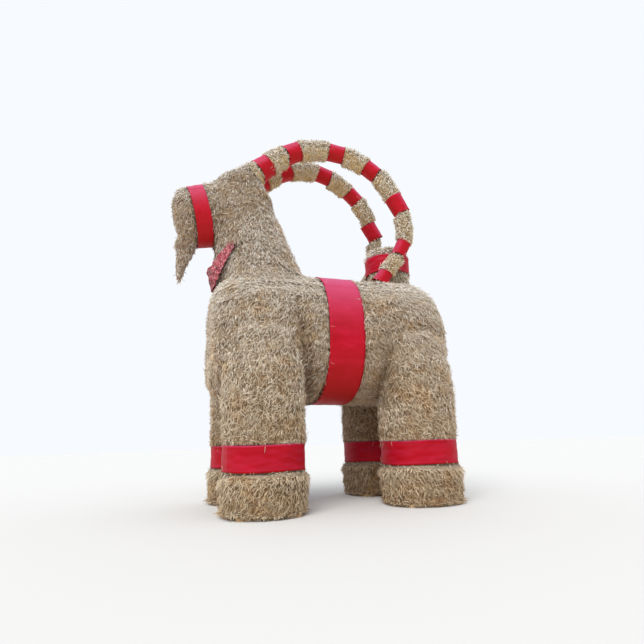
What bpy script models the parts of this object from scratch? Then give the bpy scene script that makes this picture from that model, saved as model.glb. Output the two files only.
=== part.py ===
"""Giant straw yule goat: straw mats on a pine skeleton, red cloth bands, steel-cored horns.

Metres, +Z up. The goat looks towards -X and its left flank faces -Y. The origin is on the
ground, midway between nose and rump.
"""
import math

import bmesh
import bpy
from mathutils import Matrix, Vector

# ---------------------------------------------------------------- driving dimensions
STANCE_X = 0.6677          # middle of the four feet: the head reaches further than the rump
LEG_X = 2.49               # leg centres before and behind the stance middle
LEG_Y = 1.65               # leg centres left and right
MAT = 0.18                 # thickness of the tied straw mats
FIT_GAP = 0.0005           # air between neighbouring pieces
CLOTH = 0.018              # folded thickness of a red band
CLOTH_GAP = 0.006          # air between a band and the straw under it
TIMBER = 0.14              # side of a square main timber
BATTEN = 0.09              # side of a square rung or brace

PAD_HEIGHT = 0.08          # timber pad under each leg
PAD_HALF = 0.86
LEG_TOP = 2.60             # joint between leg mats and torso mats
LEG_BAND = (1.18, 1.88)    # lower and upper edge of a leg band
LEG_WAIST = 1.13           # radius of the leg under its band
LEG_HOLLOW = 0.92
LEG_LONG = 1.02            # a leg is a little longer along X
LEG_WIDE = 0.99            # than it is wide along Y
LEG_POST = 0.50            # leg posts before, behind and beside the leg's centre
POST_TOP = 3.70
RUNG_HEIGHTS = (0.35, 1.95, 3.45)
BRACE_HEIGHTS = (0.42, 1.88)

GIRTH = (-0.55, 0.62)      # front and rear edge of the girth band
SEAM_X = 0.03              # joint between chest mats and rump mats, under the girth band
BELLY_BEAM_Y = 1.10
BELLY_BEAM_END = 3.15
SPINE_Z = 6.96
RING_X = (-2.60, -0.90, 0.95, 2.60)
RING_HALF = 1.45           # an eight-sided timber ring: half width and half of its flat edges
RING_FLAT = 0.75
RING_HEIGHTS = (4.05, 4.75, 6.05, 6.80)
RING_THICK = 0.12

MUZZLE_TILT = math.radians(13.5)
MUZZLE_BAND = Vector((-4.44, 0.0, 9.59))   # centre of the muzzle band
MUZZLE_BAND_WIDTH = 0.52
THROAT = Vector((-4.05, 0.0, 8.25))        # the joint between head mats and neck mats
NAPE = Vector((-1.80, 0.0, 9.80))          # runs from throat to nape

BEARD_AXIS = Vector((-4.88, 0.0, 8.55))
BEARD_ARM = 0.335          # hanger arms left and right of the beard
BEARD_BRIDGE = 1.085       # height of the hanger's bridge above the pin
CHIN_HALF = (0.36, 0.42)   # half size of the opening for the beard
CHIN_DEPTH = (8.10, 9.10)
PIN_R = 0.03

SCARF_REACH = math.radians(60)       # how far round the neck the scarf goes, from the front
SCARF_PIN_ANGLE = math.radians(56)
SCARF_TOP = 8.41                     # height of its ends
SCARF_DROP = 1.13                    # how much lower its middle hangs
SCARF_HALF = (0.07, 0.27)            # half height at the ends, and what the middle adds
SCARF_AWAY = (0.03, 0.17)            # air to the neck at the ends, and what the middle adds
SCARF_THICK = 0.025

TAIL_X = 2.66
TAIL_R = 0.82
TAIL_TOP = 9.02
TAIL_BAND = (7.98, 8.62)
TAIL_HOLLOW = 0.61
TAIL_HOLE_R = 0.30         # opening in the back under the tail

HORN_TUBE_R = 0.06
HORN_WALL = 0.11
HORN_FOOT = -0.09          # where the steel tube starts, inside the head, as a share of the horn
HORN_STATIONS = [-0.03 + 1.03 * step / 18 for step in range(19)]
HORN_BAND_WIDTH = 0.48
HORN_BAND_GAP = 0.040      # the straw bundle is bumpier than a mat
HORN_BAND_PLACES = (0.31, 1.57, 3.33, 4.86, 6.59, 8.44, 9.80)   # along the centre line
HORN_HOLE_R = 0.16
SOCKET_SHARES = (-0.085, -0.055)

# Superellipse exponents of the cross-sections, 2 being an ellipse, and their corner counts.
SQUARE = 2.5
LEG_SQUARE = 2.2
HEAD_SQUARE = 2.3
ROUND = 2.0
TORSO_SIDES = 22
HAUNCH_SIDES = 14
LEG_SIDES = 16
HEAD_SIDES = 18
HORN_SIDES = 10
TAIL_SIDES = 16

# Torso: distance along X, half width, underside, back.
TORSO = (
    (-3.98, 1.45, 3.80, 6.60),
    (-3.82, 1.80, 3.50, 6.98),
    (-3.45, 2.10, 3.25, 7.25),
    (-2.90, 2.32, 3.12, 7.40),
    (-2.10, 2.40, 3.10, 7.46),
    (-1.20, 2.28, 3.14, 7.46),
    (-0.60, 2.18, 3.18, 7.44),
    (0.03, 2.14, 3.20, 7.43),
    (0.66, 2.17, 3.18, 7.44),
    (1.30, 2.28, 3.14, 7.47),
    (2.20, 2.42, 3.10, 7.50),
    (2.90, 2.38, 3.12, 7.45),
    (3.40, 2.18, 3.25, 7.28),
    (3.75, 1.88, 3.50, 6.80),
    (3.99, 1.40, 3.85, 6.20),
)
# Upper leg, from its joint up into the torso: height, distance of its centre from the
# middle of the goat, radius.
HAUNCH = ((2.40, 1.65, 1.20), (3.20, 1.64, 1.24), (4.10, 1.58, 1.24), (5.10, 1.42, 1.14), (5.90, 1.15, 0.85))
# Lower leg: height, radius.
LEG = ((0.09, 1.25), (0.50, 1.27), (0.98, 1.23), (1.14, LEG_WAIST), (1.92, LEG_WAIST), (2.10, 1.19),
       (LEG_TOP - FIT_GAP, 1.20))
# Neck: height, front, back, half width.
NECK = (
    (6.90, -3.70, -0.80, 1.78),
    (7.60, -3.88, -0.94, 1.62),
    (8.30, -3.90, -1.16, 1.42),
    (9.00, -3.97, -1.47, 1.26),
    (9.70, -4.05, -1.73, 1.15),
    (10.40, -4.02, -1.93, 1.07),
    (10.95, -3.85, -2.24, 1.00),
    (11.30, -3.52, -2.60, 0.93),
    (11.57, -3.22, -2.80, 0.80),
)
# Muzzle: distance ahead of its band, half height, half width.
MUZZLE = ((-1.25, 1.14, 0.98), (-0.30, 1.055, 0.86), (0.00, 1.02, 0.82), (0.30, 0.98, 0.78),
          (0.54, 0.90, 0.70), (0.70, 0.74, 0.58), (0.80, 0.46, 0.38))
# Beard: height above its pin, shift along X, half length, half width.
BEARD = (
    (0.12, 0.0, 0.18, 0.20),
    (0.02, 0.0, 0.27, 0.28),
    (-0.20, 0.03, 0.34, 0.31),
    (-0.42, 0.0, 0.32, 0.30),
    (-0.62, -0.05, 0.27, 0.27),
    (-0.85, -0.09, 0.22, 0.22),
    (-1.10, -0.12, 0.165, 0.17),
    (-1.27, -0.13, 0.12, 0.12),
    (-1.36, -0.13, 0.06, 0.06),
)
# Tail: height, share of its radius.
TAIL = ((6.90, 1.10), (7.60, 1.00), (TAIL_BAND[0], 1.00), (TAIL_BAND[1], 1.00), (TAIL_TOP - 0.22, 0.97),
        (TAIL_TOP - 0.05, 0.80), (TAIL_TOP, 0.55))
# Horn centre line of the right horn; the left one is its mirror image.
HORN = (
    Vector((-2.54, 0.47, 11.34)),
    Vector((-1.36, 0.64, 12.22)),
    Vector((0.11, 0.75, 12.55)),
    Vector((1.63, 0.98, 11.94)),
    Vector((2.51, 1.10, 10.88)),
    Vector((2.79, 1.33, 9.46)),
    Vector((2.54, 1.23, 8.43)),
    Vector((1.78, 1.03, 7.42)),
)
HORN_R = (0.45, 0.37, 0.33, 0.32, 0.30, 0.285, 0.27, 0.25)
# Timber frames of the neck and head, left side; the right side is its mirror image.
NECK_BASE = (Vector((-3.05, -0.55, 0.0)), Vector((-1.75, -0.55, 0.0)))
NECK_HIGH = (Vector((-3.35, -0.45, 9.90)), Vector((-2.45, -0.45, 9.90)))
NECK_RUNGS = (0.0, 0.33, 0.66, 0.96)
HEAD_REAR = Vector((-2.35, 0.40, 10.30))
HEAD_FRONT = Vector((-4.95, 0.40, 9.72))
HEAD_CROWN = Vector((-2.75, 0.40, 11.05))
HEAD_RUNGS = (0.03, 0.35, 0.68, 0.97)
MIRROR = Vector((1, -1, 1))
FAR = 9.0                  # beyond every part of the goat, for cutting blocks


# ---------------------------------------------------------------- materials
def finish(name, colour, roughness, metallic=0.0):
    material = bpy.data.materials.new(name)
    material.use_nodes = True
    shader = material.node_tree.nodes["Principled BSDF"]
    shader.inputs["Base Color"].default_value = (*colour, 1.0)
    shader.inputs["Roughness"].default_value = roughness
    shader.inputs["Metallic"].default_value = metallic
    return material


# ---------------------------------------------------------------- mesh helpers
def bulge(value, exponent):
    """One coordinate of a superellipse, from a sine or a cosine."""
    return math.copysign(abs(value) ** (2.0 / exponent), value)


def oval(centre, side, rise, exponent, count):
    """A superellipse around centre, spanned by two half-axis vectors."""
    ring = []
    for step in range(count):
        angle = 2.0 * math.pi * (step + 0.5) / count
        across = side * bulge(math.cos(angle), exponent)
        ring.append(centre + across + rise * bulge(math.sin(angle), exponent))
    return ring


def skin(rings, loop=False):
    """Triangles between neighbouring rings; the end rings are filled, or joined when loop is set."""
    shape = bmesh.new()
    layers = [[shape.verts.new(point) for point in ring] for ring in rings]
    pairs = list(zip(layers, layers[1:]))
    if loop:
        pairs.append((layers[-1], layers[0]))
    else:
        shape.faces.new(layers[0])
        shape.faces.new(layers[-1])
    for lower, upper in pairs:
        for here in range(len(lower)):
            after = (here + 1) % len(lower)
            shape.faces.new((lower[here], lower[after], upper[after]))
            shape.faces.new((lower[here], upper[after], upper[here]))
    bmesh.ops.recalc_face_normals(shape, faces=shape.faces)
    mesh = bpy.data.meshes.new("shape")
    shape.to_mesh(mesh)
    shape.free()
    return mesh


def beam(start, end, width, depth=None):
    """A straight square timber between two points."""
    axis = end - start
    turn = axis.to_track_quat("Z", "Y").to_matrix()
    side = turn @ Vector((width / 2, 0, 0))
    rise = turn @ Vector((0, (depth or width) / 2, 0))
    corners = (side + rise, rise - side, -side - rise, side - rise)
    return skin([[start + corner for corner in corners], [end + corner for corner in corners]])


def disc(start, end, radius, count=12):
    """A straight round bar between two points."""
    turn = (end - start).to_track_quat("Z", "Y").to_matrix()
    side = turn @ Vector((radius, 0, 0))
    rise = turn @ Vector((0, radius, 0))
    return skin([oval(start, side, rise, ROUND, count), oval(end, side, rise, ROUND, count)])


def combine(mesh, others, operation):
    """The mesh after an exact Boolean with each of the other meshes."""
    host = bpy.data.objects.new("host", mesh)
    bpy.context.scene.collection.objects.link(host)
    for other in others:
        tool = bpy.data.objects.new("tool", other)
        bpy.context.scene.collection.objects.link(tool)
        cut = host.modifiers.new("cut", "BOOLEAN")
        cut.operation = operation
        cut.solver = "EXACT"
        cut.object = tool
        graph = bpy.context.evaluated_depsgraph_get()
        result = bpy.data.meshes.new_from_object(host.evaluated_get(graph))
        host.modifiers.clear()
        host.data = result
        bpy.data.objects.remove(tool)
    result = host.data
    bpy.data.objects.remove(host)
    return result


def place(name, mesh, material, at=(0.0, 0.0, 0.0)):
    """A named piece of the goat, standing at a point of the stance frame."""
    mesh.name = name
    mesh.materials.clear()
    mesh.materials.append(material)
    piece = bpy.data.objects.new(name, mesh)
    bpy.context.scene.collection.objects.link(piece)
    piece.parent = STANCE
    piece.location = at
    return piece


def blend_rows(rows, where):
    """The row of a profile table at a place between two of its stations."""
    for first, second in zip(rows, rows[1:]):
        if where <= second[0]:
            share = (where - first[0]) / (second[0] - first[0])
            return [a + (b - a) * share for a, b in zip(first, second)]
    return list(rows[-1])


# ---------------------------------------------------------------- straw volumes
def torso_ring(row, grow):
    x, half_width, low, high = row
    centre = Vector((x, 0, (low + high) / 2))
    side = Vector((0, half_width + grow, 0))
    rise = Vector((0, 0, (high - low) / 2 + grow))
    return oval(centre, side, rise, SQUARE, TORSO_SIDES)


def haunch(sign_x, sign_y, grow):
    """The top of one leg, which swells into the torso's side."""
    rings = []
    for height, reach, radius in HAUNCH:
        centre = Vector((sign_x * LEG_X, sign_y * reach, height))
        side = Vector((radius + grow, 0, 0))
        rings.append(oval(centre, side, Vector((0, radius + grow, 0)), LEG_SQUARE, HAUNCH_SIDES))
    rings[-1] = [point + Vector((0, 0, grow)) for point in rings[-1]]
    return skin(rings)


def torso_volume(grow):
    """Torso with its four haunches, grown or shrunk by an even amount."""
    rings = [torso_ring(row, grow) for row in TORSO]
    rings[0] = [point - Vector((grow, 0, 0)) for point in rings[0]]
    rings[-1] = [point + Vector((grow, 0, 0)) for point in rings[-1]]
    corners = [haunch(sx, sy, grow) for sx in (-1, 1) for sy in (-1, 1)]
    return combine(skin(rings), corners, "UNION")


def neck_volume(grow):
    rings = []
    for height, front, back, half_width in NECK:
        centre = Vector(((front + back) / 2, 0, height))
        side = Vector(((back - front) / 2 + grow, 0, 0))
        rings.append(oval(centre, side, Vector((0, half_width + grow, 0)), HEAD_SQUARE, HEAD_SIDES))
    rings[-1] = [point + Vector((0, 0, grow)) for point in rings[-1]]
    return skin(rings)


MUZZLE_AHEAD = Vector((-math.cos(MUZZLE_TILT), 0, -math.sin(MUZZLE_TILT)))
MUZZLE_UP = Vector((-math.sin(MUZZLE_TILT), 0, math.cos(MUZZLE_TILT)))


def muzzle_ring(row, grow):
    ahead, half_height, half_width = row
    centre = MUZZLE_BAND + MUZZLE_AHEAD * ahead
    side = Vector((0, half_width + grow, 0))
    return oval(centre, side, MUZZLE_UP * (half_height + grow), HEAD_SQUARE, HEAD_SIDES)


def head_volume(grow):
    """Neck and muzzle together."""
    rings = [muzzle_ring(row, grow) for row in MUZZLE]
    rings[-1] = [point + MUZZLE_AHEAD * grow for point in rings[-1]]
    return combine(neck_volume(grow), [skin(rings)], "UNION")


def slab(low, high):
    """A square-cornered block between two corners."""
    middle = (low + high) / 2
    size = high - low
    shape = bmesh.new()
    bmesh.ops.create_cube(shape, size=1.0, matrix=Matrix.Translation(middle) @ Matrix.Diagonal((*size, 1.0)))
    mesh = bpy.data.meshes.new("slab")
    shape.to_mesh(mesh)
    shape.free()
    return mesh


def block(x0, x1, y0, y1, z0, z1):
    return slab(Vector((x0, y0, z0)), Vector((x1, y1, z1)))


# ---------------------------------------------------------------- legs
def leg_ring(height, radius):
    side = Vector((radius * LEG_LONG, 0, 0))
    rise = Vector((0, radius * LEG_WIDE, 0))
    return oval(Vector((0, 0, height)), side, rise, LEG_SQUARE, LEG_SIDES)


def leg_mats():
    """The straw sleeve of a lower leg, squeezed in by its band."""
    outer = [leg_ring(height, radius) for height, radius in LEG]
    inner = [leg_ring(LEG[row][0], LEG_HOLLOW) for row in (-1, 0)]
    return skin(outer + inner, loop=True)


def leg_band():
    rings = []
    inner = LEG_WAIST + CLOTH_GAP
    for radius, height in ((inner, 0), (inner, 1), (inner + CLOTH, 1), (inner + CLOTH, 0)):
        rings.append(leg_ring(LEG_BAND[height], radius))
    return skin(rings, loop=True)


def leg_frame():
    """Four posts with rungs and cross braces, standing on the pad."""
    feet = PAD_HEIGHT + FIT_GAP
    corners = [(-LEG_POST, -LEG_POST), (LEG_POST, -LEG_POST), (LEG_POST, LEG_POST), (-LEG_POST, LEG_POST)]
    parts = [beam(Vector((x, y, feet)), Vector((x, y, POST_TOP)), TIMBER) for x, y in corners]
    for here, there in zip(corners, corners[1:] + corners[:1]):
        for height in RUNG_HEIGHTS:
            parts.append(beam(Vector((*here, height)), Vector((*there, height)), BATTEN))
        low, high = BRACE_HEIGHTS
        parts.append(beam(Vector((*here, low)), Vector((*there, high)), BATTEN * 0.8))
    return combine(parts[0], parts[1:], "UNION")


def build_legs(straw, cloth, pine):
    pad = block(-PAD_HALF, PAD_HALF, -PAD_HALF, PAD_HALF, 0.0, PAD_HEIGHT)
    frame = leg_frame()
    mats = leg_mats()
    band = leg_band()
    for end, sign_x in (("front", -1), ("rear", 1)):
        for flank, sign_y in (("left", -1), ("right", 1)):
            at = (sign_x * LEG_X, sign_y * LEG_Y, 0.0)
            place(f"foot_pad_{end}_{flank}", pad, pine, at)
            place(f"leg_frame_{end}_{flank}", frame, pine, at)
            place(f"leg_straw_{end}_{flank}", mats, straw, at)
            place(f"leg_band_{end}_{flank}", band, cloth, at)


# ---------------------------------------------------------------- torso
def girth_band():
    rings = []
    stations = (GIRTH[0], SEAM_X, GIRTH[1])
    for x in stations:
        rings.append(torso_ring(blend_rows(TORSO, x), CLOTH_GAP))
    for x in stations[::-1]:
        rings.append(torso_ring(blend_rows(TORSO, x), CLOTH_GAP + CLOTH))
    return skin(rings, loop=True)


def torso_ring_frame(x):
    """An eight-sided timber ring across the torso."""
    base, low, high, top = RING_HEIGHTS
    corners = [(-RING_FLAT, base), (RING_FLAT, base), (RING_HALF, low), (RING_HALF, high), (RING_FLAT, top),
               (-RING_FLAT, top), (-RING_HALF, high), (-RING_HALF, low)]
    middle = (base + top) / 2
    thick = RING_THICK / 2
    rings = []
    for grow, along in ((-thick, -thick), (thick, -thick), (thick, thick), (-thick, thick)):
        ring = []
        for y, z in corners:
            out = Vector((0, y, z - middle))
            ring.append(Vector((x + along, 0, middle)) + out * (1 + grow / out.length))
        rings.append(ring)
    return skin(rings, loop=True)


def build_torso(straw, cloth, pine):
    shell = combine(torso_volume(0.0), [torso_volume(-MAT)], "DIFFERENCE")
    below = block(-FAR, FAR, -FAR, FAR, -1.0, LEG_TOP)
    tail_hole = disc(Vector((TAIL_X, 0, 7.0)), Vector((TAIL_X, 0, 8.0)), TAIL_HOLE_R)
    shell = combine(shell, [below, neck_volume(-MAT), tail_hole], "DIFFERENCE")
    behind = block(SEAM_X - FIT_GAP / 2, FAR, -FAR, FAR, -1.0, FAR)
    ahead = block(-FAR, SEAM_X + FIT_GAP / 2, -FAR, FAR, -1.0, FAR)
    place("chest_straw", combine(shell.copy(), [behind], "DIFFERENCE"), straw)
    place("rump_straw", combine(shell, [ahead], "DIFFERENCE"), straw)
    place("girth_band", girth_band(), cloth)
    low = POST_TOP + FIT_GAP + TIMBER / 2
    for flank, sign in (("left", -1), ("right", 1)):
        end = Vector((BELLY_BEAM_END, sign * BELLY_BEAM_Y, low))
        start = Vector((-end.x, end.y, low))
        place(f"belly_beam_{flank}", beam(start, end, TIMBER), pine)
    for number, x in enumerate(RING_X, start=1):
        place(f"torso_ring_{number}", torso_ring_frame(x), pine)
    place("spine_beam", beam(Vector((-3.05, 0, SPINE_Z)), Vector((2.85, 0, SPINE_Z)), TIMBER), pine)


# ---------------------------------------------------------------- neck and head
def neck_frame():
    """Four leaning posts with rungs, standing on the spine beam."""
    foot = Vector((0, 0, SPINE_Z + TIMBER / 2 + FIT_GAP + BATTEN / 2))
    base = [point + foot for point in NECK_BASE]
    base += [point * MIRROR for point in base[::-1]]
    high = list(NECK_HIGH) + [point * MIRROR for point in NECK_HIGH[::-1]]
    parts = [beam(low + (low - top) * 0.005, top, BATTEN * 1.1) for low, top in zip(base, high)]
    for share in NECK_RUNGS:
        level = [low.lerp(top, share) for low, top in zip(base, high)]
        for here, there in zip(level, level[1:] + level[:1]):
            parts.append(beam(here, there, BATTEN * 0.9))
    return combine(parts[0], parts[1:], "UNION")


def head_frame():
    """Two rails down the muzzle, cross rungs, and an upright pair behind for the horns."""
    parts = []
    for side in (Vector((1, 1, 1)), MIRROR):
        parts.append(beam(HEAD_REAR * side, HEAD_FRONT * side, BATTEN))
        parts.append(beam(HEAD_REAR.lerp(HEAD_FRONT, 0.15) * side, HEAD_CROWN * side, BATTEN * 1.1))
    rungs = [HEAD_REAR.lerp(HEAD_FRONT, share) for share in HEAD_RUNGS]
    rungs.append(HEAD_CROWN - Vector((0, 0, 0.10)))
    for end in rungs:
        parts.append(beam(end * MIRROR, end, BATTEN * 0.9))
    return combine(parts[0], parts[1:], "UNION")


def half_space(above):
    """Everything above or below the sloping joint between neck mats and head mats."""
    along = (NAPE - THROAT).normalized()
    normal = Vector((-along.z, 0, along.x))
    start = THROAT - along * FAR + normal * (-FIT_GAP / 2 if above else FIT_GAP / 2)
    end = start + along * 2 * FAR
    far = normal * (FAR if above else -FAR)
    corners = [start, end, end + far, start + far]
    left = [corner + Vector((0, -FAR, 0)) for corner in corners]
    right = [corner + Vector((0, FAR, 0)) for corner in corners]
    return skin([left, right])


def horn_point(share, sign):
    """A point of a horn's smooth centre line, its direction and its radius there."""
    spans = len(HORN) - 1
    reached = min(share, 1.0) * spans
    index = min(max(int(reached), 0), spans - 1)
    t = reached - index
    before = HORN[index - 1] if index > 0 else HORN[0] * 2 - HORN[1]
    after = HORN[index + 2] if index + 2 <= spans else HORN[spans] * 2 - HORN[spans - 1]
    here = HORN[index]
    there = HORN[index + 1]
    slope = (there - before) * 0.5
    bend = before - here * 2.5 + there * 2 - after * 0.5
    twist = (here * 3 - before - there * 3 + after) * 0.5
    if t < 0:
        point = here + slope * t
        tangent = slope
    else:
        point = here + slope * t + bend * t ** 2 + twist * t ** 3
        tangent = slope + bend * 2 * t + twist * 3 * t ** 2
    level = max(t, 0.0)
    radius = HORN_R[index] * (1 - level) + HORN_R[index + 1] * level
    mirror = Vector((1, sign, 1))
    return point * mirror, tangent.normalized() * mirror, radius


def horn_share(distance):
    """The share of the control points reached at a distance along the centre line."""
    steps = 200
    travelled = 0.0
    last = horn_point(0.0, 1)[0]
    for step in range(1, steps + 1):
        point = horn_point(step / steps, 1)[0]
        length = (point - last).length
        if travelled + length >= distance:
            return (step - 1 + (distance - travelled) / length) / steps
        travelled += length
        last = point
    return 1.0


def horn_ring(share, sign, radius, count, shift=0.0):
    centre, tangent, _ = horn_point(share, sign)
    across = tangent.cross(Vector((0, sign, 0))).normalized()
    side = across.cross(tangent).normalized()
    return oval(centre + tangent * shift, side * radius, across * radius, ROUND, count)


def horn_mats(sign):
    """A straw sleeve over the steel tube, closed at the tip."""
    outer = []
    inner = []
    for share in HORN_STATIONS:
        radius = horn_point(share, sign)[2]
        outer.append(horn_ring(share, sign, radius, HORN_SIDES))
        inner.append(horn_ring(share, sign, radius - HORN_WALL, HORN_SIDES))
    tip = horn_point(1.0, sign)[2]
    outer.append(horn_ring(1.0, sign, tip * 0.55, HORN_SIDES, shift=tip * 0.35))
    return skin(inner[-2::-1] + outer)


def horn_tube(sign):
    """The bent steel tube inside a horn, open at both ends."""
    shares = [HORN_FOOT] + HORN_STATIONS[:-2]
    outer = [horn_ring(share, sign, HORN_TUBE_R, 6) for share in shares]
    inner = [horn_ring(share, sign, HORN_TUBE_R - 0.010, 6) for share in shares]
    return skin(outer + inner[::-1], loop=True)


def horn_socket(sign):
    """The steel sleeve that holds the foot of a horn tube."""
    inner = HORN_TUBE_R + 0.004
    outer = HORN_TUBE_R + 0.026
    low, high = SOCKET_SHARES
    rings = []
    for radius, share in ((inner, low), (outer, low), (outer, high), (inner, high)):
        rings.append(horn_ring(share, sign, radius, 12))
    return skin(rings, loop=True)


def horn_band(place_on, sign):
    """A red cloth wrap around the horn."""
    half = HORN_BAND_WIDTH / 2
    rings = []
    for grow, shifts in ((HORN_BAND_GAP, (-half, half)), (HORN_BAND_GAP + CLOTH, (half, -half))):
        for shift in shifts:
            share = horn_share(place_on + shift)
            rings.append(horn_ring(share, sign, horn_point(share, sign)[2] + grow, HORN_SIDES))
    return skin(rings, loop=True)


def muzzle_band():
    half = MUZZLE_BAND_WIDTH / 2
    rings = []
    for grow, shifts in ((CLOTH_GAP, (-half, 0, half)), (CLOTH_GAP + CLOTH, (half, 0, -half))):
        for shift in shifts:
            rings.append(muzzle_ring(blend_rows(MUZZLE, shift), grow))
    return skin(rings, loop=True)


def build_head(straw, cloth, pine, steel):
    shell = combine(head_volume(0.0), [head_volume(-MAT)], "DIFFERENCE")
    x, y = CHIN_HALF
    chin = block(BEARD_AXIS.x - x, BEARD_AXIS.x + x, -y, y, *CHIN_DEPTH)
    horn_holes = []
    for sign in (-1, 1):
        horn_holes.append(skin([horn_ring(share, sign, HORN_HOLE_R, 12) for share in (-0.08, -0.02, 0.04)]))
    across = Vector((0, 2, 0))
    pins = disc(SCARF_AXIS - across, SCARF_AXIS + across, PIN_R + 0.002)
    neck = combine(shell.copy(), [torso_volume(FIT_GAP), half_space(True), pins], "DIFFERENCE")
    head = combine(shell, [half_space(False), chin] + horn_holes, "DIFFERENCE")
    place("neck_straw", neck, straw)
    place("head_straw", head, straw)
    place("muzzle_band", muzzle_band(), cloth)
    place("neck_frame", neck_frame(), pine)
    place("head_frame", head_frame(), pine)
    for flank, sign in (("left", -1), ("right", 1)):
        place(f"horn_tube_{flank}", horn_tube(sign), steel)
        place(f"horn_socket_{flank}", horn_socket(sign), steel)
        sleeve = combine(horn_mats(sign), [head_volume(FIT_GAP), torso_volume(FIT_GAP)], "DIFFERENCE")
        place(f"horn_straw_{flank}", sleeve, straw)
        for number, distance in enumerate(HORN_BAND_PLACES, start=1):
            band = horn_band(distance, sign)
            if number == len(HORN_BAND_PLACES):
                band = combine(band, [torso_volume(FIT_GAP)], "DIFFERENCE")
            place(f"horn_band_{flank}_{number}", band, cloth)


# ---------------------------------------------------------------- tail
def tail_ring(height, radius):
    return oval(Vector((0, 0, height)), Vector((radius, 0, 0)), Vector((0, radius, 0)), ROUND, TAIL_SIDES)


def build_tail(straw, cloth, pine):
    at = (TAIL_X, 0, 0)
    outer = [tail_ring(height, TAIL_R * share) for height, share in TAIL]
    inner = [tail_ring(height, TAIL_HOLLOW) for height in (TAIL_TOP - 0.20, TAIL[0][0])]
    back = torso_volume(FIT_GAP)
    back.transform(Matrix.Translation((-TAIL_X, 0, 0)))
    place("tail_straw", combine(skin(inner + outer), [back], "DIFFERENCE"), straw, at)
    foot = Vector((0, 0, SPINE_Z + TIMBER / 2 + FIT_GAP))
    place("tail_post", beam(foot, Vector((0, 0, TAIL_TOP - 0.30)), TIMBER), pine, at)
    rings = []
    for grow, height in ((CLOTH_GAP, 0), (CLOTH_GAP + CLOTH, 0), (CLOTH_GAP + CLOTH, 1), (CLOTH_GAP, 1)):
        rings.append(tail_ring(TAIL_BAND[height], TAIL_R + grow))
    place("tail_band", skin(rings, loop=True), cloth, at)


# ---------------------------------------------------------------- beard
def build_beard(straw, steel):
    """A tapering bundle that hangs from a cross pin under the chin. Its origin is the pin."""
    rings = []
    for height, shift, side, width in BEARD:
        rings.append(oval(Vector((shift, 0, height)), Vector((side, 0, 0)), Vector((0, width, 0)), ROUND, 12))
    across = Vector((0, 1, 0))
    bore = disc(-across, across, PIN_R + 0.003)
    place("beard_straw", combine(skin(rings), [bore], "DIFFERENCE"), straw, BEARD_AXIS)
    span = across * (BEARD_ARM + 0.04)
    place("beard_pin", disc(-span, span, PIN_R), steel, BEARD_AXIS)
    half = 0.012
    arms = [block(-0.04, 0.04, side - half, side + half, -0.06, BEARD_BRIDGE + 0.015)
            for side in (-BEARD_ARM, BEARD_ARM)]
    reach = BEARD_ARM + half + 0.003
    bridge = block(-0.05, 0.05, -reach, reach, BEARD_BRIDGE, BEARD_BRIDGE + 0.035)
    hanger = combine(bridge, arms, "UNION")
    hole = disc(-across, across, PIN_R + FIT_GAP)
    place("beard_hanger", combine(hanger, [hole], "DIFFERENCE"), steel, BEARD_AXIS)


# ---------------------------------------------------------------- scarf
def scarf_depth(angle):
    """0 at the scarf's ends, 1 at the front of the neck."""
    return max(math.cos(angle / SCARF_REACH * math.pi / 2), 0.0)


def scarf_point(angle, height, extra=0.0):
    """A point beside the neck: angle from the front, height, and distance beyond the scarf's inner face."""
    _, front, back, half_width = blend_rows(NECK, height)
    cosine = math.cos(angle)
    sine = math.sin(angle)
    share = (abs(cosine) ** HEAD_SQUARE + abs(sine) ** HEAD_SQUARE) ** (-1.0 / HEAD_SQUARE)
    away = SCARF_AWAY[0] + SCARF_AWAY[1] * scarf_depth(angle) ** 3 + extra
    x = (front + back) / 2 - ((back - front) / 2 * share + away) * cosine
    return Vector((x, (half_width * share + away) * sine, height))


def scarf_middle(angle):
    return SCARF_TOP - SCARF_DROP * scarf_depth(angle)


def scarf(axis):
    """A woven cloth slung round the front of the neck, wide in the middle. Its origin is the pins' line."""
    steps = 16
    rings = []
    for step in range(steps + 1):
        angle = SCARF_REACH * (2 * step / steps - 1)
        half = SCARF_HALF[0] + SCARF_HALF[1] * scarf_depth(angle) ** 0.7
        low = scarf_middle(angle) - half
        high = scarf_middle(angle) + half
        rings.append([scarf_point(angle, low), scarf_point(angle, low, SCARF_THICK),
                      scarf_point(angle, high, SCARF_THICK), scarf_point(angle, high)])
    mesh = skin(rings)
    mesh.transform(Matrix.Translation(-axis))
    across = Vector((0, 2, 0))
    return combine(mesh, [disc(-across, across, PIN_R + 0.003)], "DIFFERENCE")


def build_scarf(cloth, steel):
    pin = scarf_point(SCARF_PIN_ANGLE, scarf_middle(SCARF_PIN_ANGLE))
    place("neck_scarf", scarf(SCARF_AXIS), cloth, SCARF_AXIS)
    for flank, sign in (("left", -1), ("right", 1)):
        shank = disc(Vector((0, sign * (pin.y - 0.26), 0)), Vector((0, sign * (pin.y + 0.09), 0)), PIN_R)
        washer = disc(Vector((0, sign * (pin.y + 0.07), 0)), Vector((0, sign * (pin.y + 0.10), 0)), 0.08)
        place(f"scarf_pin_{flank}", combine(shank, [washer], "UNION"), steel, SCARF_AXIS)


# ---------------------------------------------------------------- assembly
for leftover in list(bpy.data.objects):
    bpy.data.objects.remove(leftover)

STANCE = bpy.data.objects.new("stance", None)
bpy.context.scene.collection.objects.link(STANCE)
STANCE.location = (STANCE_X, 0.0, 0.0)
SCARF_AXIS = scarf_point(SCARF_PIN_ANGLE, scarf_middle(SCARF_PIN_ANGLE)) * Vector((1, 0, 1))

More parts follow.
